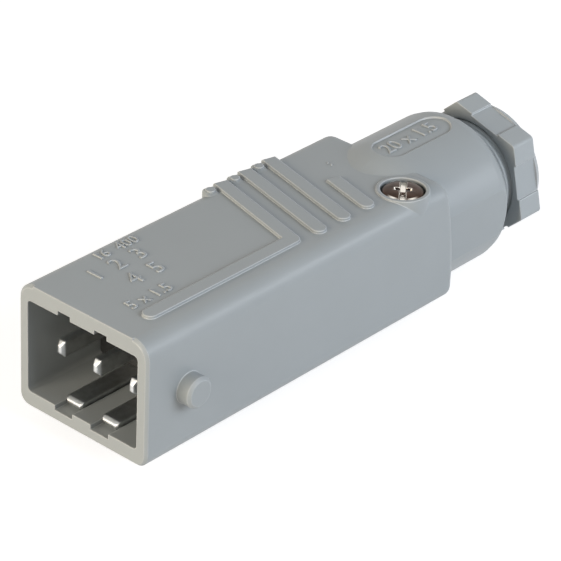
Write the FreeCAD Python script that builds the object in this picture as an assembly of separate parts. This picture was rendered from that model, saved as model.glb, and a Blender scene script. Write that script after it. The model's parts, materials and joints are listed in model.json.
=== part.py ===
"""Five-pole in-line power plug with a moulded housing, a keyed contact carrier and a screwed cable gland.

The pieces are drawn about the plug's own axis, with X = 0 at the mating face, +X back to the cable end, +Y to
the left and +Z up. They are then moved so that the origin is the middle of the underside. Lengths are in mm.
"""
import FreeCAD
import Part
import math
import os
from FreeCAD import Vector

# Housing body, with its length taken at half height
BODY_LENGTH = 69.4
BODY_WIDTH = 26.0
BODY_HEIGHT = 21.0
TOP_EDGE_R = 3.0
BOTTOM_EDGE_R = 2.1
REAR_EDGE_R = 1.5
REAR_TOP_LEAN = 2.3
REAR_BOTTOM_LEAN = 0.55
RIM_EDGE = 0.45

# Shroud around the contacts
SIDE_WALL = 1.9
TOP_WALL = 2.65
BOTTOM_WALL = 2.8
OPENING_CORNER_R = 0.7
SHROUD_DEPTH = 15.0
REAR_WALL = 5.0

# Keyways that guide the carrier
TOP_KEY_WIDTH = 2.5
TOP_KEY_DEPTH = 0.75
BOTTOM_KEY_WIDTH = 3.6
BOTTOM_KEY_DEPTH = 0.85

# Locking studs on both sides
STUD_X = 8.6
STUD_R = 2.5
STUD_HEIGHT = 2.5
STUD_EDGE = 0.45
STUD_ROOT = 0.5

# Grip ribs on the top, with short ones between them at the left edge
RIB_HEIGHT = 0.5
RIB_WIDTH = 2.35
RIB_PITCH = 5.5
RIB_SLANT = 15.1
RIB_REAR_INSET = 30.8
RIB_SIDE_INSET = 5.15
RIB_LEFT_INSET = 0.7
RIB_END_EDGE = 0.3
RIB_COUNT = 3
FRAME_LEG_SIDE_INSET = 5.7
FRAME_LEG_FRONT_X = 5.2
SHORT_RIB_SPAN = 8.85
EDGE_RIB_WIDTH = 1.5
EDGE_RIB_SPAN = 0.9

# Neck that carries the gland
NECK_R = 12.7
NECK_SIDE_STEP = 1.0
NECK_LENGTH = 15.4
NECK_END_R = 2.8
NECK_END_FLATS = 4
NECK_RAMP_INSET = 11.6
NECK_RAMP_LENGTH = 7.5
NECK_RAMP_DROP = 2.6
NECK_CREST_R = 14.0
LABEL_LENGTH = 16.4
LABEL_WIDTH = 5.8
LABEL_DEPTH = 0.3
LABEL_REAR_INSET = 11.6

# Collar for the nut's thread, on the gland's axis a little below the middle of the body
GLAND_DROP = 0.5
THREAD_STEP = 3.1
THREAD_DEPTH = 0.55
COLLAR_LENGTH = 5.6
COLLAR_ROOT = 1.0
COLLAR_WALL = 1.8
SEAL_SEAT = 1.6
RING_ENTRY = 1.2

# Gland nut
NUT_STEP = 1.75
NUT_HEX_LENGTH = 5.0
NUT_DOME_LENGTH = 2.3
NUT_DOME_SHOULDER = 1.3
NUT_DOME_SHOULDER_INSET = 0.6
NUT_DOME_INSET = 1.7
NUT_GAP = 3.2
NUT_TURN = 17.0
NUT_PANEL_WIDTH = 5.8
NUT_PANEL_DEPTH = 0.35
NUT_CORNER_R = 0.7
NUT_THREAD_CLEARANCE = 0.2
NUT_END_WALL = 2.4
NUT_LIP = 2.4

# Slip ring and cable seal inside the gland
SLIP_RING_THICKNESS = 1.0
SLIP_RING_CLEARANCE = 0.3
SLIP_RING_END_PLAY = 0.1
SEAL_CLEARANCE = 0.1
SEAL_LENGTH = 7.6
SEAL_WALL = 3.1

# Contact carrier
CARRIER_CLEARANCE = 0.1
CARRIER_LENGTH = 23.0
ARM_WIDTH = 5.2
ARM_HEIGHT = 3.2
ARM_TOP_GAP = 1.25
ARM_END_GAP = 0.4

# Contacts
UPPER_BLADE_WIDTH = 2.6
LOWER_BLADE_WIDTH = 3.2
BLADE_THICKNESS = 1.3
UPPER_TIP_BEVEL = 0.7
LOWER_TIP_BEVEL = 0.3
TIP_COIN_LENGTH = 0.7
TIP_COIN_DEPTH = 0.35
BLADE_SLOT_CLEARANCE = 0.03
UPPER_SIDE_INSET = 3.75
UPPER_DROP = 0.15
UPPER_RECESS = 2.7
LOWER_LIFT = 0.1
LOWER_RECESS = 2.0
BLOCK_WIDTH = 4.6
BLOCK_LENGTH = 8.4
UPPER_BLOCK_HEIGHT = 4.8
LOWER_BLOCK_HEIGHT = 3.9
UPPER_BLOCK_FOOT = 0.15
LOWER_BLOCK_LIFT = 5.0
LOWER_FOOT_LENGTH = 1.5
BLOCK_REAR_GAP = 2.0
BLOCK_SIDE_CLEARANCE = 0.2
WIRE_HOLE_R = 1.2
WIRE_HOLE_WALL = 0.5
WIRE_ENTRY_R = 1.7

# Terminal screws
TERMINAL_SHANK_R = 1.25
TERMINAL_HEAD_R = 2.1
UPPER_HEAD_HEIGHT = 1.5
LOWER_HEAD_HEIGHT = 0.75
TERMINAL_SLOT_WIDTH = 0.7
TERMINAL_SLOT_SHARE = 0.5
TERMINAL_REACH = 2.2
SCREW_FIT = 0.02

# Housing screw
SCREW_REAR_INSET = 8.8
SCREW_SIDE_INSET = 4.2
SCREW_RING_R = 4.2
SCREW_RING_HEIGHT = 0.3
SCREW_SINK_R = 3.6
SCREW_SINK_DEPTH = 2.8
SCREW_HEAD_GAP = 0.15
SCREW_HEAD_HEIGHT = 2.6
SCREW_HEAD_EDGE = 0.6
SCREW_SHANK_R = 1.75
SCREW_HOLE_CLEARANCE = 0.2
SCREW_REACH = 4.0
CROSS_WIDTH = 0.95
CROSS_SPAN = 3.9
CROSS_DEPTH = 1.3

# Places and sizes that follow from the sizes above
BODY_TOP_Z = BODY_HEIGHT / 2
OPENING_WIDTH = BODY_WIDTH - 2 * SIDE_WALL
OPENING_TOP_Z = BODY_TOP_Z - TOP_WALL
OPENING_BOTTOM_Z = BOTTOM_WALL - BODY_TOP_Z
CAVITY_END_X = BODY_LENGTH - REAR_WALL
RIB_FIRST_X = BODY_LENGTH - RIB_REAR_INSET
RIB_END_Y = RIB_SIDE_INSET - BODY_WIDTH / 2
FRAME_LEG_Y = FRAME_LEG_SIDE_INSET - BODY_WIDTH / 2
SHORT_RIB_LEFT_Y = RIB_END_Y + SHORT_RIB_SPAN
RIB_LEFT_Y = BODY_WIDTH / 2 - RIB_LEFT_INSET
NECK_WIDTH = BODY_WIDTH - 2 * NECK_SIDE_STEP
NECK_END_X = BODY_LENGTH + NECK_LENGTH
NECK_RAMP_X = BODY_LENGTH - NECK_RAMP_INSET
LABEL_X = NECK_END_X - LABEL_REAR_INSET
THREAD_R = NECK_R - THREAD_STEP
SEAL_POCKET_R = THREAD_R - COLLAR_WALL
SEAL_POCKET_DEPTH = SEAL_LENGTH + RING_ENTRY
WIRE_BORE_R = SEAL_POCKET_R - SEAL_SEAT
CABLE_HOLE_R = SEAL_POCKET_R - NUT_LIP
SEAL_HOLE_R = SEAL_POCKET_R - SEAL_CLEARANCE - SEAL_WALL
COLLAR_END_X = NECK_END_X + COLLAR_LENGTH
NUT_FLATS = 2 * (NECK_R - NUT_STEP)
NUT_FRONT_X = NECK_END_X + NUT_GAP
NUT_HEX_END_X = NUT_FRONT_X + NUT_HEX_LENGTH
NUT_END_X = NUT_HEX_END_X + NUT_DOME_LENGTH
UPPER_SPACING = OPENING_WIDTH / 2 - UPPER_SIDE_INSET
LOWER_SPACING = UPPER_SPACING / 2
LOWER_Z = OPENING_BOTTOM_Z + LOWER_LIFT
UPPER_BLOCK_BOTTOM_Z = -UPPER_DROP - UPPER_BLADE_WIDTH / 2 - UPPER_BLOCK_FOOT
LOWER_BLOCK_TOP_Z = OPENING_BOTTOM_Z + LOWER_BLOCK_LIFT
CARRIER_END_X = SHROUD_DEPTH + CARRIER_LENGTH
BLOCK_END_X = CARRIER_END_X - BLOCK_REAR_GAP
BLOCK_FRONT_X = BLOCK_END_X - BLOCK_LENGTH
ARM_TOP_Z = OPENING_TOP_Z - ARM_TOP_GAP
ARM_BOTTOM_Z = ARM_TOP_Z - ARM_HEIGHT
SCREW_X = BODY_LENGTH - SCREW_REAR_INSET
SCREW_Y = SCREW_SIDE_INSET - BODY_WIDTH / 2
SCREW_HEAD_R = SCREW_SINK_R - SCREW_HEAD_GAP
SCREW_RING_TOP_Z = BODY_TOP_Z + SCREW_RING_HEIGHT
SCREW_SEAT_Z = SCREW_RING_TOP_Z - SCREW_SINK_DEPTH


def box(x0, x1, y0, y1, z0, z1):
    """Block between two corners."""
    return Part.makeBox(x1 - x0, y1 - y0, z1 - z0, Vector(x0, y0, z0))


def rod(radius, start, direction, length):
    """Cylinder that starts at a point."""
    return Part.makeCylinder(radius, length, start, direction)


def rod_x(radius, x0, x1):
    """Cylinder on the gland's axis."""
    return rod(radius, Vector(x0, 0, -GLAND_DROP), Vector(1, 0, 0), x1 - x0)


def edges_at_x(shape, x):
    """Edges that lie in one cross plane."""
    return [e for e in shape.Edges if abs(e.BoundBox.XMin - x) < 1e-4 and abs(e.BoundBox.XMax - x) < 1e-4]


def rounded_bar(x0, x1, width, z0, z1, r_top, r_bottom):
    """Bar along X whose cross-section has its own top and bottom corner radius."""
    half = width / 2
    corners = [(half, z1, r_top, 0), (-half, z1, r_top, 90), (-half, z0, r_bottom, 180),
               (half, z0, r_bottom, 270)]
    edges = []
    last = None
    first = None
    for y, z, r, start in corners:
        centre = Vector(x0, y - math.copysign(r, y), z - r if start < 180 else z + r)
        points = []
        for step in (0, 45, 90):
            angle = math.radians(start + step)
            points.append(centre + Vector(0, r * math.cos(angle), r * math.sin(angle)))
        if last is None:
            first = points[0]
        else:
            edges.append(Part.LineSegment(last, points[0]).toShape())
        edges.append(Part.Arc(*points).toShape())
        last = points[2]
    edges.append(Part.LineSegment(last, first).toShape())
    return Part.Face(Part.Wire(edges)).extrude(Vector(x1 - x0, 0, 0))


def turned(points):
    """Solid of revolution about the gland's axis from a closed line of (x, radius) points."""
    wire = Part.makePolygon([Vector(x, 0, r - GLAND_DROP) for x, r in points + points[:1]])
    return Part.Face(wire).revolve(Vector(0, 0, -GLAND_DROP), Vector(1, 0, 0), 360)


def slanted_bar(front_x, y0, y1, width, z0, z1):
    """Upright bar across the housing at the rib slant, round at its right end and eased at its left end."""
    slope = math.tan(math.radians(RIB_SLANT))
    start = Vector(front_x + slope * y0, y0, z0)
    length = (y1 - y0) / math.cos(math.radians(RIB_SLANT))
    bar = Part.makeBox(width, length, z1 - z0, start - Vector(width / 2, 0, 0))
    end_edge = [e for e in bar.Edges if e.BoundBox.YMin > y0 + length - 1e-4 and e.BoundBox.ZMin > z1 - 1e-4]
    bar = bar.makeChamfer(RIB_END_EDGE, end_edge)
    bar.rotate(start, Vector(0, 0, 1), -RIB_SLANT)
    return bar.fuse(rod(width / 2, start, Vector(0, 0, 1), z1 - z0))


def grip_ribs():
    """Raised ribs: an angled frame bar, two long ribs, a short rib and the stubs at the left edge."""
    top = BODY_TOP_Z + RIB_HEIGHT
    bars = []
    for number in range(RIB_COUNT):
        x = RIB_FIRST_X + number * RIB_PITCH
        end_y = FRAME_LEG_Y if number == 0 else RIB_END_Y
        bars.append(slanted_bar(x, end_y, RIB_LEFT_Y, RIB_WIDTH, 0, top))
        bars.append(slanted_bar(x - RIB_PITCH / 2, RIB_LEFT_Y - EDGE_RIB_SPAN, RIB_LEFT_Y, EDGE_RIB_WIDTH,
                                0, top))
    short_x = RIB_FIRST_X + RIB_COUNT * RIB_PITCH
    bars.append(slanted_bar(short_x, RIB_END_Y, SHORT_RIB_LEFT_Y, RIB_WIDTH, 0, top))
    corner_x = RIB_FIRST_X + FRAME_LEG_Y * math.tan(math.radians(RIB_SLANT))
    leg_x = FRAME_LEG_FRONT_X + RIB_WIDTH / 2
    bars.append(box(leg_x, corner_x, FRAME_LEG_Y - RIB_WIDTH / 2, FRAME_LEG_Y + RIB_WIDTH / 2, 0, top))
    bars.append(rod(RIB_WIDTH / 2, Vector(leg_x, FRAME_LEG_Y, 0), Vector(0, 0, 1), top))
    return bars[0].fuse(bars[1:])


def neck():
    """Round neck with flat sides that rises out of the body, eased at its end, with a sunk label oval."""
    crest_x = NECK_RAMP_X + NECK_RAMP_LENGTH
    points = [(NECK_RAMP_X, 0), (NECK_RAMP_X, NECK_R - NECK_RAMP_DROP), (crest_x, NECK_R)]
    for number in range(NECK_END_FLATS + 1):
        angle = math.radians(90 * number / NECK_END_FLATS)
        points.append((NECK_END_X - NECK_END_R * (1 - math.sin(angle)),
                       NECK_R - NECK_END_R * (1 - math.cos(angle))))
    body = turned(points + [(NECK_END_X, 0)])
    body = body.makeFillet(NECK_CREST_R, edges_at_x(body, crest_x))
    sides = box(NECK_RAMP_X, NECK_END_X, -NECK_WIDTH / 2, NECK_WIDTH / 2, -2 * NECK_R, 2 * NECK_R)
    body = body.common(sides)
    straight = (LABEL_LENGTH - LABEL_WIDTH) / 2
    oval = box(LABEL_X - straight, LABEL_X + straight, -LABEL_WIDTH / 2, LABEL_WIDTH / 2, 0, NECK_R)
    for x in (LABEL_X - straight, LABEL_X + straight):
        oval = oval.fuse(rod(LABEL_WIDTH / 2, Vector(x, 0, 0), Vector(0, 0, 1), NECK_R))
    return body.cut(oval.cut(rod_x(NECK_R - LABEL_DEPTH, 0, NUT_END_X)))


def gland_collar():
    """Collar behind the neck, drawn plain at the root of its thread."""
    return rod_x(THREAD_R - THREAD_DEPTH, NECK_END_X - COLLAR_ROOT, COLLAR_END_X)


def body_block():
    """Rounded block of the body, with an eased rim and a bowed rear end that leans forward at the top."""
    side = -BODY_WIDTH / 2
    low = Vector(BODY_LENGTH + REAR_BOTTOM_LEAN, side, -BODY_TOP_Z)
    high = Vector(BODY_LENGTH - REAR_TOP_LEAN, side, BODY_TOP_Z)
    front_low = Vector(0, side, -BODY_TOP_Z)
    front_high = Vector(0, side, BODY_TOP_Z)
    bow = Part.Arc(low, Vector(BODY_LENGTH, side, 0), high).toShape()
    profile = Part.Wire([bow, *Part.makePolygon([high, front_high, front_low, low]).Edges])
    block = rounded_bar(0, low.x, BODY_WIDTH, -BODY_TOP_Z, BODY_TOP_Z, TOP_EDGE_R, BOTTOM_EDGE_R)
    block = block.common(Part.Face(profile).extrude(Vector(0, BODY_WIDTH, 0)))
    rear = max(block.Faces, key=lambda face: face.CenterOfMass.x)
    block = block.makeFillet(REAR_EDGE_R, rear.OuterWire.Edges)
    return block.makeChamfer(RIM_EDGE, edges_at_x(block, 0))


def housing():
    """One-piece moulding: shrouded body, studs, ribs, screw boss, neck and collar."""
    shell = body_block()
    lip = BODY_WIDTH / 2 - TOP_EDGE_R
    shell = shell.fuse(box(0, 2 * RIM_EDGE, -lip, lip, BODY_TOP_Z - 2 * RIM_EDGE, BODY_TOP_Z))
    shell = shell.fuse([grip_ribs(), neck(), gland_collar()])
    for side in (-1, 1):
        stud = rod(STUD_R, Vector(STUD_X, side * (BODY_WIDTH / 2 - STUD_ROOT), 0), Vector(0, side, 0),
                   STUD_HEIGHT + STUD_ROOT)
        outer = side * (BODY_WIDTH / 2 + STUD_HEIGHT)
        stud = stud.makeChamfer(STUD_EDGE, [e for e in stud.Edges if abs(e.BoundBox.YMin - outer) < 1e-4
                                            and abs(e.BoundBox.YMax - outer) < 1e-4])
        shell = shell.fuse(stud)
    shell = shell.cut(rounded_bar(0, CAVITY_END_X, OPENING_WIDTH, OPENING_BOTTOM_Z, OPENING_TOP_Z,
                                  OPENING_CORNER_R, OPENING_CORNER_R))
    for side in (-1, 1):
        y = side * LOWER_SPACING
        shell = shell.cut(box(0, CARRIER_END_X, y - TOP_KEY_WIDTH / 2, y + TOP_KEY_WIDTH / 2,
                              0, OPENING_TOP_Z + TOP_KEY_DEPTH))
        shell = shell.cut(box(0, CARRIER_END_X, y - BOTTOM_KEY_WIDTH / 2, y + BOTTOM_KEY_WIDTH / 2,
                              OPENING_BOTTOM_Z - BOTTOM_KEY_DEPTH, 0))
    shell = shell.cut(rod_x(WIRE_BORE_R, CAVITY_END_X, COLLAR_END_X))
    shell = shell.cut(rod_x(SEAL_POCKET_R, COLLAR_END_X - SEAL_POCKET_DEPTH, COLLAR_END_X))
    up = Vector(0, 0, 1)
    boss = rod(SCREW_RING_R, Vector(SCREW_X, SCREW_Y, ARM_TOP_Z), up, SCREW_RING_TOP_Z - ARM_TOP_Z)
    shell = shell.fuse(boss)
    shell = shell.cut(rod(SCREW_SINK_R, Vector(SCREW_X, SCREW_Y, SCREW_SEAT_Z), up,
                          SCREW_SINK_DEPTH + NECK_R))
    shell = shell.cut(rod(SCREW_SHANK_R + SCREW_HOLE_CLEARANCE, Vector(SCREW_X, SCREW_Y, ARM_TOP_Z), up,
                          SCREW_SEAT_Z - ARM_TOP_Z))
    return shell.removeSplitter()


def contact_places():
    """Node name, Y place and row of each contact."""
    places = []
    for name, step in (("left", 1), ("middle", 0), ("right", -1)):
        places.append((name, step * UPPER_SPACING, "upper"))
    for name, step in (("left", 1), ("right", -1)):
        places.append((name, step * LOWER_SPACING, "lower"))
    return places


def blade_size(row):
    """Width in Y, height in Z, centre Z, tip recess and tip bevel of a blade."""
    if row == "upper":
        return BLADE_THICKNESS, UPPER_BLADE_WIDTH, -UPPER_DROP, UPPER_RECESS, UPPER_TIP_BEVEL
    return LOWER_BLADE_WIDTH, BLADE_THICKNESS, LOWER_Z, LOWER_RECESS, LOWER_TIP_BEVEL


def block_span(row):
    """Lowest and highest Z of a terminal block."""
    if row == "upper":
        return UPPER_BLOCK_BOTTOM_Z, UPPER_BLOCK_BOTTOM_Z + UPPER_BLOCK_HEIGHT
    return LOWER_BLOCK_TOP_Z - LOWER_BLOCK_HEIGHT, LOWER_BLOCK_TOP_Z


def wire_axis_z(row):
    """Height of a terminal's wire hole."""
    z0, z1 = block_span(row)
    inset = WIRE_HOLE_WALL + WIRE_HOLE_R
    return z0 + inset if row == "upper" else z1 - inset


def contact_carrier():
    """Keyed insulating insert with contact slots, terminal chambers and an arm for the housing screw."""
    gap = CARRIER_CLEARANCE
    half = OPENING_WIDTH / 2 - gap
    body = rounded_bar(SHROUD_DEPTH, CARRIER_END_X, 2 * half, OPENING_BOTTOM_Z + gap, OPENING_TOP_Z - gap,
                       OPENING_CORNER_R, OPENING_CORNER_R)
    for side in (-1, 1):
        y = side * LOWER_SPACING
        top = TOP_KEY_WIDTH / 2 - gap
        low = BOTTOM_KEY_WIDTH / 2 - gap
        body = body.fuse(box(SHROUD_DEPTH, CARRIER_END_X, y - top, y + top,
                             0, OPENING_TOP_Z + TOP_KEY_DEPTH - gap))
        body = body.fuse(box(SHROUD_DEPTH, CARRIER_END_X, y - low, y + low,
                             OPENING_BOTTOM_Z - BOTTOM_KEY_DEPTH + gap, 0))
    for _, y, row in contact_places():
        width, height, z, _, _ = blade_size(row)
        grow = BLADE_SLOT_CLEARANCE
        body = body.cut(box(SHROUD_DEPTH, BLOCK_FRONT_X, y - width / 2 - grow, y + width / 2 + grow,
                            z - height / 2 - grow, z + height / 2 + grow))
        z0, z1 = block_span(row)
        half_block = BLOCK_WIDTH / 2 + BLOCK_SIDE_CLEARANCE
        if row == "upper":
            z1 = BODY_TOP_Z
        else:
            z0 = -BODY_TOP_Z
        body = body.cut(box(BLOCK_FRONT_X - BLOCK_SIDE_CLEARANCE, BLOCK_END_X + BLOCK_SIDE_CLEARANCE,
                            y - half_block, y + half_block, z0, z1))
        body = body.cut(rod(WIRE_ENTRY_R, Vector(BLOCK_END_X, y, wire_axis_z(row)), Vector(1, 0, 0),
                            BLOCK_REAR_GAP))
    arm = box(BLOCK_END_X + BLOCK_SIDE_CLEARANCE, CAVITY_END_X - ARM_END_GAP, -half, ARM_WIDTH - half,
              ARM_BOTTOM_Z, ARM_TOP_Z)
    body = body.fuse(arm)
    body = body.cut(rod(SCREW_SHANK_R + SCREW_FIT, Vector(SCREW_X, SCREW_Y, ARM_BOTTOM_Z), Vector(0, 0, 1),
                        ARM_TOP_Z - ARM_BOTTOM_Z))
    return body.removeSplitter()


def blade(y, row):
    """Flat blade with its tip bevelled on both edges and coined thinner on both faces."""
    width, height, z, recess, bevel = blade_size(row)
    end = BLOCK_FRONT_X + (0 if row == "upper" else LOWER_FOOT_LENGTH)
    tall = max(width, height) / 2
    thin = min(width, height) / 2
    outline = [(recess, bevel - tall), (recess + bevel, -tall), (end, -tall), (end, tall),
               (recess + bevel, tall), (recess, tall - bevel)]
    coined = [(recess, TIP_COIN_DEPTH - thin), (recess + TIP_COIN_LENGTH, -thin), (end, -thin), (end, thin),
              (recess + TIP_COIN_LENGTH, thin), (recess, thin - TIP_COIN_DEPTH)]
    upright, flat = (outline, coined) if row == "upper" else (coined, outline)
    side_view = [Vector(x, y - width / 2, z + w) for x, w in upright + upright[:1]]
    top_view = [Vector(x, y + w, z - height / 2) for x, w in flat + flat[:1]]
    shape = Part.Face(Part.makePolygon(side_view)).extrude(Vector(0, width, 0))
    return shape.common(Part.Face(Part.makePolygon(top_view)).extrude(Vector(0, 0, height)))


def contact(y, row):
    """Flat contact blade in one piece with its terminal block."""
    z0, z1 = block_span(row)
    shape = box(BLOCK_FRONT_X, BLOCK_END_X, y - BLOCK_WIDTH / 2, y + BLOCK_WIDTH / 2, z0, z1)
    shape = shape.fuse(blade(y, row))
    if row == "lower":
        shape = shape.fuse(box(BLOCK_FRONT_X, BLOCK_FRONT_X + LOWER_FOOT_LENGTH, y - LOWER_BLADE_WIDTH / 2,
                               y + LOWER_BLADE_WIDTH / 2, LOWER_Z, z1))
    shape = shape.cut(rod(WIRE_HOLE_R, Vector(BLOCK_FRONT_X + LOWER_FOOT_LENGTH, y, wire_axis_z(row)),
                          Vector(1, 0, 0), BLOCK_LENGTH))
    start, way = terminal_axis(y, row)
    return shape.cut(rod(TERMINAL_SHANK_R + SCREW_FIT, start, way * -1, TERMINAL_REACH)).removeSplitter()


def terminal_axis(y, row):
    """Place where a terminal screw's head sits, and the way it looks."""
    z0, z1 = block_span(row)
    x = (BLOCK_FRONT_X + BLOCK_END_X) / 2
    if row == "upper":
        return Vector(x, y, z1), Vector(0, 0, 1)
    return Vector(x, y, z0), Vector(0, 0, -1)


def terminal_screw(y, row):
    """Slotted clamping screw of one terminal."""
    start, way = terminal_axis(y, row)
    head_height = UPPER_HEAD_HEIGHT if row == "upper" else LOWER_HEAD_HEIGHT
    shape = rod(TERMINAL_HEAD_R, start, way, head_height)
    shape = shape.fuse(rod(TERMINAL_SHANK_R, start, way * -1, TERMINAL_REACH))
    top = start.z + way.z * head_height
    low, high = sorted((top, top - way.z * head_height * TERMINAL_SLOT_SHARE))
    return shape.cut(box(start.x - TERMINAL_HEAD_R, start.x + TERMINAL_HEAD_R, y - TERMINAL_SLOT_WIDTH / 2,
                         y + TERMINAL_SLOT_WIDTH / 2, low, high)).removeSplitter()


def housing_screw():
    """Cross-recessed screw that draws the carrier's arm up against the boss."""
    up = Vector(0, 0, 1)
    seat = Vector(SCREW_X, SCREW_Y, SCREW_SEAT_Z)
    top_z = SCREW_SEAT_Z + SCREW_HEAD_HEIGHT
    head = rod(SCREW_HEAD_R, seat, up, SCREW_HEAD_HEIGHT)
    head = head.makeChamfer(SCREW_HEAD_EDGE, [e for e in head.Edges if e.BoundBox.ZMin > top_z - 1e-4])
    for along, across in ((CROSS_SPAN, CROSS_WIDTH), (CROSS_WIDTH, CROSS_SPAN)):
        head = head.cut(box(SCREW_X - along / 2, SCREW_X + along / 2, SCREW_Y - across / 2,
                            SCREW_Y + across / 2, top_z - CROSS_DEPTH, top_z))
    shank_length = SCREW_SEAT_Z - ARM_TOP_Z + SCREW_REACH
    return head.fuse(rod(SCREW_SHANK_R, seat, up * -1, shank_length)).removeSplitter()


def gland_nut():
    """Hexagonal gland nut with a shallow panel on each flat and a low domed end."""
    corner = NUT_FLATS / math.sqrt(3)
    points = []
    for number in range(7):
        angle = math.radians(NUT_TURN + 60 * number)
        points.append(Vector(NUT_FRONT_X, corner * math.cos(angle), corner * math.sin(angle)))
    nut = Part.Face(Part.makePolygon(points)).extrude(Vector(NUT_HEX_LENGTH, 0, 0))
    nut.translate(Vector(0, 0, -GLAND_DROP))
    ridges = [e for e in nut.Edges if abs(e.Length - NUT_HEX_LENGTH) < 1e-4]
    nut = nut.makeFillet(NUT_CORNER_R, ridges)
    dome = turned([(NUT_FRONT_X, 0), (NUT_FRONT_X, NUT_FLATS / 2), (NUT_HEX_END_X, NUT_FLATS / 2),
                   (NUT_HEX_END_X + NUT_DOME_SHOULDER, NUT_FLATS / 2 - NUT_DOME_SHOULDER_INSET),
                   (NUT_END_X, NUT_FLATS / 2 - NUT_DOME_INSET), (NUT_END_X, 0)])
    nut = nut.fuse(dome)
    for number in range(6):
        panel = box(NUT_FRONT_X, NUT_HEX_END_X, -NUT_PANEL_WIDTH / 2, NUT_PANEL_WIDTH / 2,
                    NUT_FLATS / 2 - NUT_PANEL_DEPTH, corner)
        panel.rotate(Vector(0, 0, 0), Vector(1, 0, 0), NUT_TURN + 60 * number)
        panel.translate(Vector(0, 0, -GLAND_DROP))
        nut = nut.cut(panel)
    nut = nut.cut(rod_x(THREAD_R + NUT_THREAD_CLEARANCE, NUT_FRONT_X, NUT_END_X - NUT_END_WALL))
    nut = nut.cut(rod_x(CABLE_HOLE_R, NUT_FRONT_X, NUT_END_X))
    return nut.removeSplitter()


def slip_ring():
    """Flat ring that stays still while the nut turns and pushes on the seal."""
    back = NUT_END_X - NUT_END_WALL - SLIP_RING_END_PLAY
    ring = rod_x(SEAL_POCKET_R - SLIP_RING_CLEARANCE, back - SLIP_RING_THICKNESS, back)
    return ring.cut(rod_x(CABLE_HOLE_R, back - SLIP_RING_THICKNESS, back))


def cable_seal():
    """Rubber seal in the collar's pocket."""
    front = COLLAR_END_X - SEAL_POCKET_DEPTH
    seal = rod_x(SEAL_POCKET_R - SEAL_CLEARANCE, front, front + SEAL_LENGTH)
    return seal.cut(rod_x(SEAL_HOLE_R, front, front + SEAL_LENGTH))


def main():
    """Build every piece and write its file."""
    os.makedirs("parts", exist_ok=True)
    pieces = {"housing": housing(), "contact_carrier": contact_carrier()}
    for side, y, row in contact_places():
        pieces[f"{row}_contact_{side}"] = contact(y, row)
        pieces[f"{row}_terminal_screw_{side}"] = terminal_screw(y, row)
    pieces["housing_screw"] = housing_screw()
    pieces["gland_nut"] = gland_nut()
    pieces["slip_ring"] = slip_ring()
    pieces["cable_seal"] = cable_seal()
    for name, shape in pieces.items():
        solid = shape.Solids[0]
        solid.translate(Vector(-NUT_END_X / 2, 0, NECK_R + GLAND_DROP))
        solid.exportStep(f"parts/{name}.step")
        print(name, len(shape.Solids), solid.isValid(), round(solid.Volume, 2))


main()
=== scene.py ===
"""Looks of a five-pole in-line power plug: plastics, plated contacts, a worn screw and plain marks."""

import json
import logging
import math
from dataclasses import dataclass, field
from enum import Enum
from typing import Callable

import bpy
from mathutils import Matrix, Vector


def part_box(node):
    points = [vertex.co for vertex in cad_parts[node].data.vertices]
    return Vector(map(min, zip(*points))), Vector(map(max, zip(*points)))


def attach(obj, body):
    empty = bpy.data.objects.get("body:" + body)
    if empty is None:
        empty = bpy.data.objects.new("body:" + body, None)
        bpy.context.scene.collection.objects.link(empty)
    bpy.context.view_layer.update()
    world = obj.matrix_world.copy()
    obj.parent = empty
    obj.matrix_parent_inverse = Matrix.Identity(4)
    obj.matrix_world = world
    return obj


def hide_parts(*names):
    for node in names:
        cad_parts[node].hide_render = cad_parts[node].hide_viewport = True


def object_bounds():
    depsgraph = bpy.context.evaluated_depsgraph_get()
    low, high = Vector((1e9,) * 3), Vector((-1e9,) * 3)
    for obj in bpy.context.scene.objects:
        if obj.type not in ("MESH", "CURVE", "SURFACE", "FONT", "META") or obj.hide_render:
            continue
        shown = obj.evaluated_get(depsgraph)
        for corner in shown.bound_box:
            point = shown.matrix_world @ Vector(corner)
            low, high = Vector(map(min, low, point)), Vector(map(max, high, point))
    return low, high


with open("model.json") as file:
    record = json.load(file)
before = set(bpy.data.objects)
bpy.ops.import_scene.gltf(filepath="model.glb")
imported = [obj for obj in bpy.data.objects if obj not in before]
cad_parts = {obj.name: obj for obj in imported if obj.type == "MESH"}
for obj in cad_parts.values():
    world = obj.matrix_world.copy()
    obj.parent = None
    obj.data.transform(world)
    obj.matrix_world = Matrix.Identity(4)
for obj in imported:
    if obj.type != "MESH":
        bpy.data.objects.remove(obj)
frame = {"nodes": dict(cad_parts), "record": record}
CAD_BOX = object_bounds()
LOG = logging.getLogger("plug")

# Names that end in _MM are in millimetres, and places are in the frame of the solids.
MM = 0.001
FRONT_MM = CAD_BOX[0][0] / MM
TOP_MM = 23.7
LABEL_MM = 25.1
MERGE_MM = 0.002
LAMP_AIM_MM = 12.0
FLOOR_DROP_MM = 0.02

# A face counts as facing along an axis when its unit normal reaches this far along it.
FACING = 0.9
# Height of a figure as a share of the text's size.
FIGURE_SHARE = 0.7

# How closely the rounded and the plain normal agree where the painted edge highlight begins to show, and
# where it shows fully.
EDGE_BEGINS = 0.998
EDGE_FULL = 0.85
# How closely a normal agrees with the lit side where its painted highlight begins to show, and where it shows
# fully.
SIDE_HIGHLIGHT_BEGINS = 0.7
SIDE_HIGHLIGHT_FULL = 1.0
BEVEL_SAMPLES = 8
# Diffuse Depth counts bounces, so below this value there was none.
NO_BOUNCE = 0.5

# Sockets of a colour mix, which share their names with those of other kinds of mix.
MIX_SHARE = 0
MIX_FIRST = 6
MIX_SECOND = 7
MIX_RESULT = 2

# Face attribute that marks faces for a painted glint, laid where use would wear the metal bright.
GLINT_ATTRIBUTE = "painted_glint"
Side = tuple[float, float, float]
NO_SIDE: Side = (0.0, 0.0, 0.0)


class Rides(Enum):
    """Bodies that a piece can move with."""

    BODY = "plug_body"
    RING = "slip_ring"
    NUT = "gland_nut"


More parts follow.
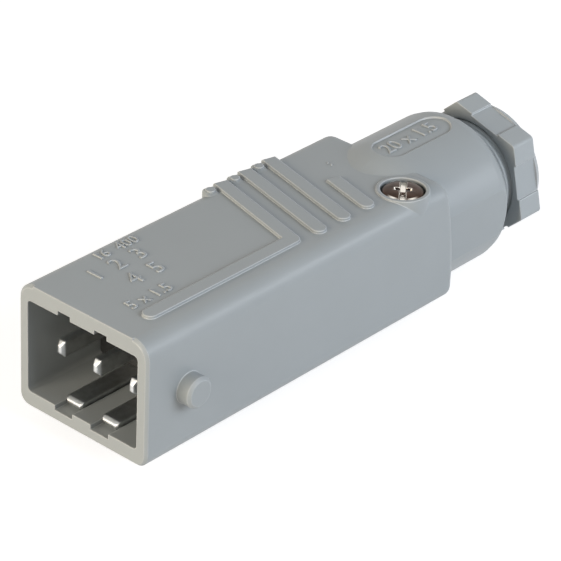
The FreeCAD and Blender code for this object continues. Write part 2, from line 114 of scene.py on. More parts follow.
class Slot(Enum):
    """Material slots of the record."""

    HOUSING = "housing_plastic"
    CARRIER = "carrier_plastic"
    CONTACT = "contact_metal"
    SCREW = "screw_steel"
    NUT = "nut_plastic"
    RING = "ring_plastic"
    SEAL = "seal_rubber"


class Pick(Enum):
    """What edit mode selects."""

    FACES = "FACE"
    POINTS = "VERT"


def linear(colour: str) -> tuple[float, float, float, float]:
    """Turn an sRGB hex colour into linear light.

    Args:
        colour: Six hex digits, with or without a leading hash.

    Returns:
        Red, green, blue and an alpha of 1.
    """
    digits = colour.lstrip("#")
    channels = [int(digits[i:i + 2], 16) / 255 for i in (0, 2, 4)]
    # These are the two parts of the sRGB transfer curve.
    light = [c / 12.92 if c <= 0.04045 else ((c + 0.055) / 1.055) ** 2.4 for c in channels]
    return (light[0], light[1], light[2], 1.0)


def add_node(tree: bpy.types.NodeTree, kind: str, settings: dict | None = None,
             links: dict | None = None) -> bpy.types.Node:
    """Add a node, set its values and wire its inputs.

    Args:
        tree: Node tree that takes the node.
        kind: Blender's name of the node type.
        settings: Properties and input values by name or index.
        links: Output sockets by the name or index of the input they feed.

    Returns:
        The new node.
    """
    node = tree.nodes.new(kind)
    for key, value in (settings or {}).items():
        if isinstance(key, str) and hasattr(node, key):
            setattr(node, key, value)
        else:
            node.inputs[key].default_value = value
    for key, source in (links or {}).items():
        tree.links.new(source, node.inputs[key])
    return node


def empty_material(name: str) -> tuple[bpy.types.Material, bpy.types.NodeTree]:
    """Make a material with an empty node tree.

    Args:
        name: Name of the material.

    Returns:
        The material and its tree.
    """
    material = bpy.data.materials.new(name)
    material.use_nodes = True
    material.node_tree.nodes.clear()
    return material, material.node_tree


def round_edges_and_paint_highlights(tree: bpy.types.NodeTree, colour: bpy.types.NodeSocket, highlight_colour: str, edge_mm: float,
               share: float, side: Side = NO_SIDE) -> tuple[bpy.types.NodeSocket, bpy.types.NodeSocket]:
    """Round a finish at the piece's edges, and paint a highlight colour there, on faces marked for a glint
    and on faces that look towards a lit side.

    Args:
        tree: Node tree of the finish.
        colour: Colour of the plain surface.
        highlight_colour: sRGB hex colour of the painted highlight.
        edge_mm: Radius of the rounding.
        share: How much of the painted highlight shows at an edge, from 0 to 1.
        side: Direction of the lit side, whose faces get the painted highlight, beside the faces that carry
            the mark.

    Returns:
        The mixed colour and the rounded normal.
    """
    bevel = add_node(tree, "ShaderNodeBevel", {"samples": BEVEL_SAMPLES, "Radius": edge_mm * MM})
    rounded = bevel.outputs["Normal"]
    geometry = add_node(tree, "ShaderNodeNewGeometry")
    agreement = add_node(tree, "ShaderNodeVectorMath", {"operation": "DOT_PRODUCT"},
                         {0: rounded, 1: geometry.outputs["Normal"]})
    # Painted edge highlight: the highlight colour shows where the rounded normal turns away from the plain
    # one.
    edge = add_node(tree, "ShaderNodeMapRange",
                    {"From Min": EDGE_BEGINS, "From Max": EDGE_FULL, "To Min": 0.0, "To Max": share},
                    {"Value": agreement.outputs["Value"]})
    # Faces marked for a painted glint get the highlight colour in full.
    painted_glint = add_node(tree, "ShaderNodeAttribute", {"attribute_name": GLINT_ATTRIBUTE})
    shown = add_node(tree, "ShaderNodeMath", {"operation": "MAXIMUM"},
                     {0: edge.outputs["Result"], 1: painted_glint.outputs["Fac"]})
    if any(side):
        # Painted highlight on faces that look towards the lit side, as if light fell on them there.
        towards = add_node(tree, "ShaderNodeVectorMath", {"operation": "DOT_PRODUCT", 1: side}, {0: rounded})
        lit_side_highlight = add_node(tree, "ShaderNodeMapRange",
                               {"From Min": SIDE_HIGHLIGHT_BEGINS, "From Max": SIDE_HIGHLIGHT_FULL},
                               {"Value": towards.outputs["Value"]})
        shown = add_node(tree, "ShaderNodeMath", {"operation": "MAXIMUM"},
                         {0: shown.outputs[0], 1: lit_side_highlight.outputs["Result"]})
    # The painted highlight is mixed into the plain colour here.
    mixed = add_node(tree, "ShaderNodeMix", {"data_type": "RGBA", MIX_SECOND: linear(highlight_colour)},
                     {MIX_SHARE: shown.outputs[0], MIX_FIRST: colour})
    return mixed.outputs[MIX_RESULT], rounded


@dataclass(frozen=True)
class MouldedPlastic:
    """Injection-moulded plastic with a spark-eroded skin, faint flow clouds and softly rounded edges that
    carry a painted highlight.
    """

    name: str
    colour: str
    cloud_colour: str
    # Colour of the painted highlight on the edges.
    highlight_colour: str
    roughness: float = 0.38
    gloss_spread: float = 0.06
    ior: float = 1.53
    # The real grain is finer. It is drawn as coarse as it needs to be to show.
    grain_mm: float = 0.3
    grain_height_mm: float = 0.012
    grain_strength: float = 0.6
    cloud_mm: float = 9.0
    edge_mm: float = 0.35
    highlight_share: float = 1.0

    def material(self) -> bpy.types.Material:
        """Build the node material.

        Returns:
            The finished material.
        """
        material, tree = empty_material(self.name)
        place = add_node(tree, "ShaderNodeTexCoord").outputs["Object"]
        clouds = add_node(tree, "ShaderNodeTexNoise",
                          {"Scale": 1 / (self.cloud_mm * MM), "Detail": 3.0, "Roughness": 0.55},
                          {"Vector": place})
        colours = {MIX_FIRST: linear(self.colour), MIX_SECOND: linear(self.cloud_colour)}
        tint = add_node(tree, "ShaderNodeMix", {"data_type": "RGBA", **colours},
                        {MIX_SHARE: clouds.outputs["Fac"]})
        colour, normal = round_edges_and_paint_highlights(tree, tint.outputs[MIX_RESULT], self.highlight_colour, self.edge_mm,
                                    self.highlight_share)
        grain = add_node(tree, "ShaderNodeTexNoise", {"Scale": 1 / (self.grain_mm * MM), "Detail": 2.0},
                         {"Vector": place})
        bump = add_node(tree, "ShaderNodeBump",
                        {"Strength": self.grain_strength, "Distance": self.grain_height_mm * MM},
                        {"Height": grain.outputs["Fac"], "Normal": normal})
        smoothest = self.roughness - self.gloss_spread
        roughest = self.roughness + self.gloss_spread
        gloss = add_node(tree, "ShaderNodeMapRange", {"To Min": smoothest, "To Max": roughest},
                         {"Value": clouds.outputs["Fac"]})
        shader = add_node(
            tree, "ShaderNodeBsdfPrincipled", {"IOR": self.ior},
            {"Base Color": colour, "Roughness": gloss.outputs["Result"], "Normal": bump.outputs["Normal"]})
        add_node(tree, "ShaderNodeOutputMaterial", links={"Surface": shader.outputs["BSDF"]})
        return material


@dataclass(frozen=True)
class PlatedMetal:
    """Plated metal, stamped or turned, with fine drawing lines, a little tarnish and a painted highlight on
    its edges, on faces marked for a glint and on faces that look towards a lit side.
    """

    name: str
    colour: str
    tarnish: str
    # Colour of the painted highlights and glints.
    highlight_colour: str
    roughness: float = 0.24
    smoother: float = 0.06
    rougher: float = 0.12
    # Real drawing lines are finer. They are drawn as coarse as they need to be to show.
    line_mm: tuple[float, float, float] = (4.0, 0.12, 0.12)
    line_height_mm: float = 0.003
    line_strength: float = 0.5
    cloud_mm: float = 1.6
    tarnish_begins: float = 0.35
    tarnish_full: float = 0.75
    edge_mm: float = 0.12
    highlight_share: float = 1.0
    # Direction of the lit side, whose faces get a painted highlight.
    lit_side_highlight: Side = NO_SIDE

    def material(self) -> bpy.types.Material:
        """Build the node material.

        Returns:
            The finished material.
        """
        material, tree = empty_material(self.name)
        place = add_node(tree, "ShaderNodeTexCoord").outputs["Object"]
        scale = tuple(1 / (size * MM) for size in self.line_mm)
        stretched = add_node(tree, "ShaderNodeMapping", {"Scale": scale}, {"Vector": place})
        lines = add_node(tree, "ShaderNodeTexNoise", {"Scale": 1.0, "Detail": 3.0},
                         {"Vector": stretched.outputs["Vector"]})
        clouds = add_node(tree, "ShaderNodeTexNoise", {"Scale": 1 / (self.cloud_mm * MM), "Detail": 4.0},
                          {"Vector": place})
        share = add_node(tree, "ShaderNodeMapRange",
                         {"From Min": self.tarnish_begins, "From Max": self.tarnish_full},
                         {"Value": clouds.outputs["Fac"]})
        colours = {MIX_FIRST: linear(self.colour), MIX_SECOND: linear(self.tarnish)}
        tint = add_node(tree, "ShaderNodeMix", {"data_type": "RGBA", **colours},
                        {MIX_SHARE: share.outputs["Result"]})
        colour, normal = round_edges_and_paint_highlights(tree, tint.outputs[MIX_RESULT], self.highlight_colour, self.edge_mm,
                                    self.highlight_share, self.lit_side_highlight)
        bump = add_node(tree, "ShaderNodeBump",
                        {"Strength": self.line_strength, "Distance": self.line_height_mm * MM},
                        {"Height": lines.outputs["Fac"], "Normal": normal})
        gloss = add_node(tree, "ShaderNodeMapRange",
                         {"To Min": self.roughness - self.smoother, "To Max": self.roughness + self.rougher},
                         {"Value": clouds.outputs["Fac"]})
        shader = add_node(
            tree, "ShaderNodeBsdfPrincipled", {"Metallic": 1.0},
            {"Base Color": colour, "Roughness": gloss.outputs["Result"], "Normal": bump.outputs["Normal"]})
        add_node(tree, "ShaderNodeOutputMaterial", links={"Surface": shader.outputs["BSDF"]})
        return material


# Glass-filled polyamide from an eroded mould: a soft satin grey with a painted highlight on its edges.
HOUSING_PLASTIC = MouldedPlastic("polyamide_grey", "9DA3A5", "A4AAAC", "CACECF")
# The nut is the same plastic, with its colours set a touch lighter.
NUT_PLASTIC = MouldedPlastic("polyamide_grey_nut", "A5ABAD", "ADB3B5", "D0D4D5")
# Thermoset insulator: dark and dry, with no shine deep in the shroud.
CARRIER_PLASTIC = MouldedPlastic("insulator_dark", "222424", "272929", "303232", roughness=0.6)
# Acetal slip ring: black and slick.
RING_PLASTIC = MouldedPlastic("acetal_black", "26282A", "2C2E30", "3A3C3E", roughness=0.32, ior=1.48)
# Nitrile rubber: deep matt black.
SEAL_RUBBER = MouldedPlastic("nitrile_rubber", "1E1F20", "262728", "303132", roughness=0.8, ior=1.52)
# Nickel-plated brass strip: dull grey along its length, with a faint painted highlight on its edges and a
# full one on faces that look forward and up, which lie mostly at the tip's upper edge.
CONTACT_METAL = PlatedMetal("nickel_plated_brass", "CFD2D3", "B4B7B7", "F4F2EC", roughness=0.34, edge_mm=0.5,
                            highlight_share=0.15, lit_side_highlight=(-0.8, 0.0, 0.6))
# Zinc-plated steel whose dark brown is a painted dark reflection of the room, with painted glints where a
# screwdriver would rub it.
SCREW_STEEL = PlatedMetal("zinc_plated_steel", "4E3C32", "33261F", "F2ECE2", roughness=0.14,
                          line_mm=(0.5, 0.5, 0.5), edge_mm=0.3)

FINISHES = {
    Slot.HOUSING: HOUSING_PLASTIC,
    Slot.CARRIER: CARRIER_PLASTIC,
    Slot.CONTACT: CONTACT_METAL,
    Slot.SCREW: SCREW_STEEL,
    Slot.NUT: NUT_PLASTIC,
    Slot.RING: RING_PLASTIC,
    Slot.SEAL: SEAL_RUBBER,
}


@dataclass
class Dresser:
    """Gives every carried-over node and every new piece its finish."""

    made: dict[Slot, bpy.types.Material] = field(default_factory=dict)

    def finish(self, slot: Slot) -> bpy.types.Material:
        """Give the material of a slot.

        Args:
            slot: Slot of the record.

        Returns:
            Its material, which is made at its first use.
        """
        if slot not in self.made:
            self.made[slot] = FINISHES[slot].material()
        return self.made[slot]

    def dress_nodes(self) -> None:
        """Assign each node's finish to its own material slots."""
        for entry in frame["record"]["subparts"]:
            node = frame["nodes"][entry["node"]]
            material = self.finish(Slot(entry["material_slot"]))
            for place in node.material_slots:
                place.material = material
            if not node.material_slots:
                node.data.materials.append(material)
            LOG.info("node %s: %s", entry["node"], material.name)

    def adopt(self, piece: bpy.types.Object, slot: Slot, body: Rides, replaced: tuple[str, ...] = ()) -> None:
        """Dress a new piece and tie it to its body.

        Args:
            piece: Finished mesh object at the origin.
            slot: Slot that it takes its finish from.
            body: Body that it moves with.
            replaced: Nodes that it stands for.
        """
        piece.data.materials.clear()
        piece.data.materials.append(self.finish(slot))
        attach(piece, body.value)
        if replaced:
            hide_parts(*replaced)
        LOG.info("piece %s: %d faces", piece.name, len(piece.data.polygons))


def deselect() -> None:
    """Deselect every object, so that the next operator meets only its own piece."""
    bpy.ops.object.select_all(action="DESELECT")


def activate(piece: bpy.types.Object) -> None:
    """Make a piece the only selected object and the active one.

    Args:
        piece: Object that the next operators act on.
    """
    deselect()
    piece.select_set(True)
    bpy.context.view_layer.objects.active = piece


def settle(piece: bpy.types.Object, name: str, angle: float = 40.0) -> bpy.types.Object:
    """Name a piece, put its place into its mesh and smooth it.

    Args:
        piece: Object to finish.
        name: Its name.
        angle: Edges flatter than this many degrees are shaded smooth.

    Returns:
        The same object.
    """
    activate(piece)
    bpy.ops.object.transform_apply(location=True, rotation=True, scale=True)
    bpy.ops.object.shade_smooth_by_angle(angle=math.radians(angle))
    piece.name = name
    piece.data.name = name
    return piece


def edit(piece: bpy.types.Object, pick: Pick, test: Callable[[Vector, Vector], bool]) -> None:
    """Open a piece in edit mode with only the wanted faces or points selected.

    Args:
        piece: Mesh object to open.
        pick: Whether faces or points are selected.
        test: Takes the place in mm and the normal, and says whether the element is wanted.
    """
    activate(piece)
    bpy.ops.object.mode_set(mode="EDIT")
    bpy.ops.mesh.select_mode(type=pick.value)
    bpy.ops.mesh.select_all(action="DESELECT")
    bpy.ops.object.mode_set(mode="OBJECT")
    elements = piece.data.polygons if pick is Pick.FACES else piece.data.vertices
    for element in elements:
        place = element.center if pick is Pick.FACES else element.co
        element.select = test(place / MM, element.normal)
    bpy.ops.object.mode_set(mode="EDIT")


def draw_out(way_mm: float, share: float) -> None:
    """Extrude the selected faces along Z and resize the new end.

    Args:
        way_mm: How far, upwards when positive.
        share: Size of the new end as a share of the old one.
    """
    bpy.ops.mesh.extrude_region_move(TRANSFORM_OT_translate={"value": (0, 0, way_mm * MM)})
    if share != 1.0:
        bpy.ops.transform.resize(value=(share, share, 1.0))


def apply_modifier(piece: bpy.types.Object, kind: str, **settings: object) -> None:
    """Add a modifier, set it and apply it.

    Args:
        piece: Mesh object that takes it.
        kind: Blender's name of the modifier type.
        settings: Its properties.
    """
    activate(piece)
    modifier = piece.modifiers.new(kind.lower(), kind)
    for key, value in settings.items():
        setattr(modifier, key, value)
    bpy.ops.object.modifier_apply(modifier=modifier.name)


def close_up(piece: bpy.types.Object) -> None:
    """Merge doubles and turn the normals outwards.

    Args:
        piece: Mesh object to mend.
    """
    edit(piece, Pick.FACES, lambda place, normal: True)
    bpy.ops.mesh.remove_doubles(threshold=MERGE_MM * MM)
    bpy.ops.mesh.normals_make_consistent(inside=False)
    bpy.ops.object.mode_set(mode="OBJECT")


def box_mm(node: str) -> tuple[Vector, Vector]:
    """Give the corners of a CAD node's box in mm.

    Args:
        node: Name of the node.

    Returns:
        Its lowest and its highest corner.
    """
    low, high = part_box(node)
    return low / MM, high / MM


@dataclass
class HousingScrew:
    """Domed screw with a worn slot and cross recess, sunk in the boss at the right rear."""

    dresser: Dresser
    sides: int = 72
    head_mm: float = 2.6
    head_radius_mm: float = 3.35
    lift_mm: float = 0.2
    dome_mm: tuple[tuple[float, float], ...] = ((0.2, 0.96), (0.15, 0.89), (0.1, 0.77), (0.06, 0.55))
    shank_radius_mm: float = 1.7
    shank_mm: float = 4.6
    tip_mm: float = 0.7
    tip_share: float = 0.6
    recess_span_mm: float = 4.2
    recess_width_mm: float = 1.1
    recess_depth_mm: float = 1.6
    recess_floor: tuple[float, float] = (0.36, 0.5)
    recess_turn: float = 38.0
    dull_lip_share: float = 0.25
    slot_width_mm: float = 1.05
    slot_depth_mm: float = 1.1
    slot_level_mm: float = 2.4
    slot_rise: float = 0.23
    slot_taper: float = 0.9
    slot_floor_facing: float = 0.7
    cutter_depths: int = 2
    worn_edge_mm: float = 0.07
    worn_angle: float = 35.0
    # Painted glints on the rim: a band this wide, in crescents beside the slot.
    bright_rim_mm: float = 0.45
    bright_arc: float = 60.0
    bright_power: int = 4

    def blank(self) -> bpy.types.Object:
        """Draw the head, its dome and its shank out of one cylinder.

        Returns:
            The screw without its cuts, with the underside of its head on the origin.
        """
        deselect()
        skirt = self.head_mm - sum(rise for rise, _ in self.dome_mm)
        bpy.ops.mesh.primitive_cylinder_add(vertices=self.sides, radius=self.head_radius_mm * MM,
                                            depth=skirt * MM, location=(0, 0, skirt * MM / 2))
        blank = bpy.context.active_object
        bpy.ops.object.transform_apply(location=True, rotation=False, scale=False)
        edit(blank, Pick.FACES, lambda place, normal: normal.z > FACING)
        for rise, share in self.dome_mm:
            draw_out(rise, share)
        bpy.ops.object.mode_set(mode="OBJECT")
        edit(blank, Pick.FACES, lambda place, normal: normal.z < -FACING)
        bpy.ops.mesh.inset(thickness=(self.head_radius_mm - self.shank_radius_mm) * MM, depth=0.0)
        draw_out(-self.shank_mm, 1.0)
        draw_out(-self.tip_mm, self.tip_share)
        bpy.ops.object.mode_set(mode="OBJECT")
        return blank

    def cutter(self, turn: float, size_mm: tuple[float, float, float],
               floor: tuple[float, float]) -> bpy.types.Object:
        """Make the tapered bar that cuts the slot or one wing pair of the cross.

        Args:
            turn: Turn of the bar about Z, in degrees.
            size_mm: Span, width and depth of the cut.
            floor: Shares of the span and the width that are left at the cut's floor.

        Returns:
            The bar, which reaches as far above the head's top as below it.
        """
        deselect()
        span, width, depth = size_mm
        bpy.ops.mesh.primitive_cube_add(size=1.0, location=(0, 0, self.head_mm * MM))
        bar = bpy.context.active_object
        bar.scale = (span * MM, width * MM, self.cutter_depths * depth * MM)
        bpy.ops.object.transform_apply(location=True, rotation=False, scale=True)
        edit(bar, Pick.FACES, lambda place, normal: normal.z < -FACING)
        bpy.ops.transform.resize(value=(*floor, 1.0))
        bpy.ops.object.mode_set(mode="OBJECT")
        bar.rotation_euler.z = math.radians(turn)
        bpy.ops.object.transform_apply(location=False, rotation=True, scale=False)
        return bar

    def paint_glints(self, screw: bpy.types.Object) -> None:
        """Mark the slot's floor, the ends of the wings and the rim beside the slot for painted glints.

        Args:
            screw: Screw that still stands on the origin.
        """
        floor_mm = self.head_mm - self.recess_depth_mm - self.worn_edge_mm
        lip_mm = self.head_mm - self.dull_lip_share * self.recess_depth_mm
        rim_mm = self.head_radius_mm - self.bright_rim_mm
        arc = math.radians(self.bright_arc)
        # Painted glints: full on the slot's floor and the wings' ends, fading in crescents on the rim beside
        # the slot.
        marks = screw.data.attributes.new(GLINT_ATTRIBUTE, "FLOAT", "FACE")
        for face, mark in zip(screw.data.polygons, marks.data):
            centre = face.center / MM
            reach = math.hypot(centre.x, centre.y)
            from_slot = math.atan2(centre.y, centre.x) - math.radians(self.recess_turn)
            aside = math.asin(abs(math.sin(from_slot)))
            beside_mm = reach * math.sin(aside)
            in_slot = beside_mm < self.slot_width_mm / 2 and face.normal.z > self.slot_floor_facing
            in_wing = self.slot_level_mm / 2 < reach < self.recess_span_mm / 2
            mark.value = 0.0
            if floor_mm < centre.z < lip_mm and (in_slot or in_wing):
                mark.value = 1.0
            elif reach > rim_mm and centre.z > floor_mm and aside < arc:
                mark.value = math.sin(math.pi * aside / arc) ** self.bright_power

    def build(self) -> None:
        """Cut the slot and the cross, wear the edges and put the screw in its boss."""
        screw = self.blank()
        wing_mm = (self.recess_span_mm, self.recess_width_mm, self.recess_depth_mm)
        # The slot's level floor runs out upwards at both ends, so its bar is longer at the top.
        run_out_mm = self.cutter_depths * self.slot_depth_mm / self.slot_rise
        slot_span_mm = self.slot_level_mm + 2 * run_out_mm
        slot_mm = (slot_span_mm, self.slot_width_mm, self.slot_depth_mm)
        slot_floor = (self.slot_level_mm / slot_span_mm, self.slot_taper)
        bars = [
            self.cutter(self.recess_turn, slot_mm, slot_floor),
            self.cutter(self.recess_turn, wing_mm, self.recess_floor),
            self.cutter(self.recess_turn + 90, wing_mm, self.recess_floor),
        ]
        for bar in bars:
            apply_modifier(screw, "BOOLEAN", operation="DIFFERENCE", object=bar, solver="EXACT")
            bpy.data.objects.remove(bar)
        close_up(screw)
        apply_modifier(screw, "BEVEL", width=self.worn_edge_mm * MM, segments=2, limit_method="ANGLE",
                       angle_limit=math.radians(self.worn_angle))
        close_up(screw)
        # Mark the painted glints on the head.
        self.paint_glints(screw)
        low, high = box_mm("housing_screw")
        middle = (low + high) / 2
        screw.location = Vector((middle.x, middle.y, high.z + self.lift_mm - self.head_mm)) * MM
        settle(screw, "housing_screw_worn", angle=35.0)
        self.dresser.adopt(screw, Slot.SCREW, Rides.BODY, ("housing_screw",))


@dataclass
class GlandThread:
    """Screw thread on the collar, which the gland nut uncovers as it is loosened."""

    dresser: Dresser
    pitch_mm: float = 1.5
    turns: int = 3
    crest_mm: float = 0.3
    base_mm: float = 1.35
    height_mm: float = 0.5
    sunk_mm: float = 0.1
    end_land_mm: float = 0.3
    end_band_mm: float = 0.01
    steps: int = 72

    def profile(self, collar_radius_mm: float) -> bpy.types.Object:
        """Draw the ridge's cross-section beside the X axis.

        Args:
            collar_radius_mm: Radius of the plain collar.

        Returns:
            A flat trapezium whose base is sunk a little into the collar.
        """
        deselect()
        tall_mm = self.height_mm + self.sunk_mm
        middle_mm = collar_radius_mm + self.height_mm - tall_mm / 2
        bpy.ops.mesh.primitive_plane_add(size=1.0, location=(0, middle_mm * MM, 0))
        ridge = bpy.context.active_object
        ridge.scale = (self.base_mm * MM, tall_mm * MM, 1.0)
        bpy.ops.object.transform_apply(location=True, rotation=False, scale=True)
        edit(ridge, Pick.POINTS, lambda place, normal: place.y > collar_radius_mm)
        bpy.ops.transform.resize(value=(self.crest_mm / self.base_mm, 1.0, 1.0))
        bpy.ops.object.mode_set(mode="OBJECT")
        return ridge

    def build(self) -> None:
        """Wind the ridge round the collar and close its two ends."""
        _, housing_high = box_mm("housing")
        ring_low, ring_high = box_mm("slip_ring")
        axis_z = (ring_low.z + ring_high.z) / 2
        points = [vertex.co / MM for vertex in frame["nodes"]["housing"].data.vertices]
        end_points = [point for point in points if point.x > housing_high.x - self.end_band_mm]
        collar_radius_mm = max(math.hypot(point.y, point.z - axis_z) for point in end_points)
        thread = self.profile(collar_radius_mm)
        apply_modifier(thread, "SCREW", axis="X", steps=self.steps, render_steps=self.steps,
                       iterations=self.turns, screw_offset=self.pitch_mm * MM, angle=math.tau,
                       use_merge_vertices=False)
        edit(thread, Pick.FACES, lambda place, normal: False)
        bpy.ops.mesh.select_mode(type="EDGE")
        bpy.ops.mesh.select_non_manifold()
        bpy.ops.mesh.fill_holes(sides=4)
        bpy.ops.object.mode_set(mode="OBJECT")
        close_up(thread)
        start = housing_high.x - self.end_land_mm - self.base_mm / 2 - self.turns * self.pitch_mm
        thread.location = Vector((start, 0, axis_z)) * MM
        settle(thread, "gland_thread", angle=30.0)
        self.dresser.adopt(thread, Slot.HOUSING, Rides.BODY)


@dataclass
class EdgeBumps:
    """Rounded bumps that rise to the left edge of the grip, one in front of each long rib's end."""

    dresser: Dresser
    count: int = 3
    pitch_mm: float = 5.5
    first_behind_mm: float = 38.6
    y_mm: float = 10.2
    proud_mm: float = 0.55
    size_mm: tuple[float, float, float] = (2.3, 4.3, 2.1)
    fall_mm: float = 1.1
    slant: float = 15.1
    round_mm: float = 0.45

    def model(self) -> bpy.types.Object:
        """Shape one bump with rounded edges, whose crest falls away into the groove.

        Returns:
            The bump, with its middle on the origin.
        """
        deselect()
        bpy.ops.mesh.primitive_cube_add(size=1.0)
        bump = bpy.context.active_object
        bump.scale = Vector(self.size_mm) * MM
        bpy.ops.object.transform_apply(location=False, rotation=False, scale=True)
        edit(bump, Pick.POINTS, lambda place, normal: place.z > 0 > place.y)
        bpy.ops.transform.translate(value=(0, 0, -self.fall_mm * MM))
        bpy.ops.object.mode_set(mode="OBJECT")
        apply_modifier(bump, "BEVEL", width=self.round_mm * MM, segments=4, limit_method="NONE")
        close_up(bump)
        return bump

    def build(self) -> None:
        """Set a copy of the bump at each place along the edge, with its foot inside the housing."""
        model = self.model()
        middle_z = TOP_MM + self.proud_mm - self.size_mm[2] / 2
        for number in range(self.count):
            bump = model.copy()
            bump.data = model.data.copy()
            bpy.context.collection.objects.link(bump)
            behind_mm = self.first_behind_mm + number * self.pitch_mm
            bump.rotation_euler.z = -math.radians(self.slant)
            bump.location = Vector((FRONT_MM + behind_mm, self.y_mm, middle_z)) * MM
            settle(bump, f"edge_bump_{number + 1}")
            self.dresser.adopt(bump, Slot.HOUSING, Rides.BODY)
        bpy.data.objects.remove(model)


@dataclass(frozen=True)
class Line:
    """One line of raised plain figures, placed by its distance behind the mating face."""

    text: str
    behind_mm: float
    y_mm: float
    height_mm: float
    z_mm: float = TOP_MM


@dataclass
class RaisedMarks:
    """Plain figures a little proud of the moulding: contact numbers, sizes and two dots."""

    dresser: Dresser
    lines: tuple[Line, ...] = (
        Line("1  2  3", behind_mm=7.6, y_mm=4.6, height_mm=3.0),
        Line("4  5", behind_mm=11.0, y_mm=0.0, height_mm=3.0),
        Line("5 x 1.5", behind_mm=5.6, y_mm=-4.6, height_mm=2.2),
        Line("20 x 1.5", behind_mm=66.2, y_mm=-1.25, height_mm=2.7, z_mm=LABEL_MM),
        Line("16  400", behind_mm=12.0, y_mm=8.5, height_mm=2.0),
        Line(":", behind_mm=58.6, y_mm=4.1, height_mm=1.6),
    )
    proud_mm: float = 0.2
    root_mm: float = 0.3
    curve_steps: int = 4

    def mark(self, line: Line) -> bpy.types.Object:
        """Make one line of figures as a mesh.

        Args:
            line: Its text, size and place.

        Returns:
            The figures, at their place with their roots inside the housing.
        """
        deselect()
        bpy.ops.object.text_add(location=(0, 0, 0))
        text = bpy.context.active_object.data
        text.body = line.text
        text.size = line.height_mm * MM / FIGURE_SHARE
        text.extrude = (self.proud_mm + self.root_mm) * MM / 2
        text.resolution_u = self.curve_steps
        bpy.ops.object.convert(target="MESH")
        mark = bpy.context.active_object
        middle_z = line.z_mm + (self.proud_mm - self.root_mm) / 2
        mark.location = Vector((FRONT_MM + line.behind_mm, line.y_mm, middle_z)) * MM
        close_up(mark)
        return mark

    def build(self) -> None:
        """Raise every line on the housing."""
        for number, line in enumerate(self.lines, 1):
            mark = settle(self.mark(line), f"raised_figures_{number}", angle=30.0)
            self.dresser.adopt(mark, Slot.HOUSING, Rides.BODY)


@dataclass
class PhotoCamera:
    """Camera at the photograph's viewing angle."""

    azimuth: float = 40.322
    elevation: float = 30.339
    roll: float = 2.74
    distance_mm: float = 453.4
    target_mm: tuple[float, float, float] = (FRONT_MM + 45.0, 0.0, 11.72)
    focal_px: float = 2947.0
    frame_px: float = 561.0
    off_centre_px: tuple[float, float] = (8.94, -7.59)
    sensor_mm: float = 36.0
    clip_start_m: float = 0.01

    def build(self) -> None:
        """Add the camera and make it the scene's own."""
        turn, rise, roll = (math.radians(angle) for angle in (self.azimuth, self.elevation, self.roll))
        back = Vector((-math.cos(turn) * math.cos(rise), -math.sin(turn) * math.cos(rise), math.sin(rise)))
        level_right = (-back).cross(Vector((0, 0, 1))).normalized()
        level_up = level_right.cross(-back)
        right = math.cos(roll) * level_right + math.sin(roll) * level_up
        up = -math.sin(roll) * level_right + math.cos(roll) * level_up
        target = Vector(self.target_mm) * MM
        place = target + back * self.distance_mm * MM
        pixel = self.distance_mm * MM / self.focal_px
        aim = target - right * self.off_centre_px[0] * pixel + up * self.off_centre_px[1] * pixel
        back = (place - aim).normalized()
        right = up.cross(back).normalized()
        up = back.cross(right)
        data = bpy.data.cameras.new("photo_camera")
        data.sensor_width = self.sensor_mm
        data.lens = self.sensor_mm * self.focal_px / self.frame_px
        data.clip_start = self.clip_start_m
        camera = bpy.data.objects.new("photo_camera", data)
        bpy.context.scene.collection.objects.link(camera)
        camera.matrix_world = Matrix((
            (right.x, up.x, back.x, place.x),
            (right.y, up.y, back.y, place.y),
            (right.z, up.z, back.z, place.z),
            (0, 0, 0, 1)))
        bpy.context.scene.camera = camera


@dataclass(frozen=True)
class Softbox:
    """Square soft light that looks at the plug."""

    name: str
    azimuth: float
    elevation: float
    power: float
    size_m: float
    colour: str
    distance_m: float = 0.5

    def build(self) -> None:
        """Add the lamp."""
        turn, rise = math.radians(self.azimuth), math.radians(self.elevation)
        way = Vector((math.cos(turn) * math.cos(rise), math.sin(turn) * math.cos(rise), math.sin(rise)))
        data = bpy.data.lights.new(self.name, "AREA")
        data.energy = self.power
        data.size = self.size_m
        data.color = linear(self.colour)[:3]
        lamp = bpy.data.objects.new(self.name, data)
        bpy.context.scene.collection.objects.link(lamp)
        lamp.location = way * self.distance_m + Vector((0, 0, LAMP_AIM_MM * MM))
        lamp.rotation_euler = way.to_track_quat("Z", "Y").to_euler()


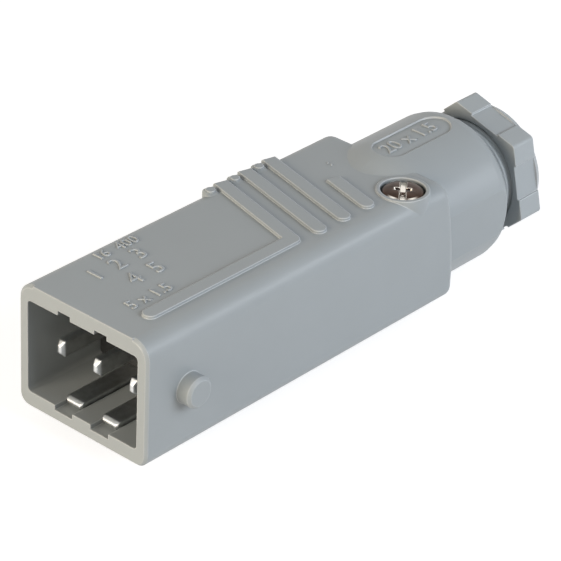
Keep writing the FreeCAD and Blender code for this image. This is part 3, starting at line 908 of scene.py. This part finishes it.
@dataclass
class Studio:
    """White floor and world, and three softboxes."""

    floor_m: float = 1.6
    ambient: float = 0.21
    zenith_share: float = 0.85
    floor_glow: float = 0.76
    floor_albedo: str = "C8C8C8"
    lamps: tuple[Softbox, ...] = (
        Softbox("front_softbox", azimuth=174.0, elevation=12.0, power=2.68, size_m=0.35, colour="FFF1DC"),
        Softbox("right_softbox", azimuth=-80.0, elevation=29.0, power=1.6, size_m=0.35, colour="F0F6FF"),
        Softbox("rear_softbox", azimuth=-42.0, elevation=17.0, power=0.25, size_m=0.12, colour="F0F6FF"),
    )

    def white_to_eye(self, tree: bpy.types.NodeTree) -> bpy.types.NodeSocket:
        """Make a mask of what the camera sees straight, by a reflection or through a piece.

        Args:
            tree: Node tree of the world or the floor.

        Returns:
            A socket that is 1 on such a path, and 0 on other paths and after a diffuse bounce.
        """
        path = add_node(tree, "ShaderNodeLightPath")
        seen = path.outputs["Is Camera Ray"]
        for kind in ("Is Glossy Ray", "Is Transmission Ray"):
            either = add_node(tree, "ShaderNodeMath", {"operation": "MAXIMUM"},
                              {0: seen, 1: path.outputs[kind]})
            seen = either.outputs[0]
        unspread = add_node(tree, "ShaderNodeMath", {"operation": "LESS_THAN", 1: NO_BOUNCE},
                            {0: path.outputs["Diffuse Depth"]})
        mask = add_node(tree, "ShaderNodeMath", {"operation": "MULTIPLY"}, {0: seen, 1: unspread.outputs[0]})
        return mask.outputs[0]

    def world(self) -> None:
        """Make a world that is white to the eye, and to the plug a grey room with a darker ceiling."""
        world = bpy.data.worlds.new("studio")
        bpy.context.scene.world = world
        world.use_nodes = True
        tree = world.node_tree
        tree.nodes.clear()
        way = add_node(tree, "ShaderNodeTexCoord").outputs["Generated"]
        height = add_node(tree, "ShaderNodeSeparateXYZ", links={"Vector": way})
        level = add_node(tree, "ShaderNodeMapRange",
                         {"To Min": self.ambient, "To Max": self.ambient * self.zenith_share},
                         {"Value": height.outputs["Z"]})
        dim = add_node(tree, "ShaderNodeBackground", {"Color": (1, 1, 1, 1)},
                       {"Strength": level.outputs["Result"]})
        white = add_node(tree, "ShaderNodeBackground", {"Color": (1, 1, 1, 1), "Strength": 1.0})
        mix = add_node(tree, "ShaderNodeMixShader",
                       links={0: self.white_to_eye(tree), 1: dim.outputs[0], 2: white.outputs[0]})
        add_node(tree, "ShaderNodeOutputWorld", links={"Surface": mix.outputs[0]})

    def floor(self) -> None:
        """Lay a pale floor under the lowest line of the plug, which keeps a soft shadow."""
        deselect()
        height = CAD_BOX[0][2] - FLOOR_DROP_MM * MM
        bpy.ops.mesh.primitive_plane_add(size=self.floor_m, location=(0, 0, height))
        plane = bpy.context.active_object
        settle(plane, "floor")
        material, tree = empty_material("white_paper_sweep")
        paper = add_node(tree, "ShaderNodeBsdfDiffuse", {"Color": linear(self.floor_albedo)})
        glow = add_node(tree, "ShaderNodeEmission", {"Strength": self.floor_glow})
        both = add_node(tree, "ShaderNodeAddShader", links={0: paper.outputs[0], 1: glow.outputs[0]})
        mix = add_node(tree, "ShaderNodeMixShader",
                       links={0: self.white_to_eye(tree), 1: paper.outputs[0], 2: both.outputs[0]})
        add_node(tree, "ShaderNodeOutputMaterial", links={"Surface": mix.outputs[0]})
        plane.data.materials.append(material)

    def build(self) -> None:
        """Set up the view transform, the world, the floor and the lamps."""
        bpy.context.scene.view_settings.view_transform = "Standard"
        self.world()
        self.floor()
        for lamp in self.lamps:
            lamp.build()


def main() -> None:
    """Build the studio, the camera and every piece in order."""
    logging.basicConfig(level=logging.INFO, format="%(name)s %(message)s")
    Studio().build()
    PhotoCamera().build()
    dresser = Dresser()
    dresser.dress_nodes()
    HousingScrew(dresser).build()
    GlandThread(dresser).build()
    EdgeBumps(dresser).build()
    RaisedMarks(dresser).build()


if __name__ == "__main__":
    main()
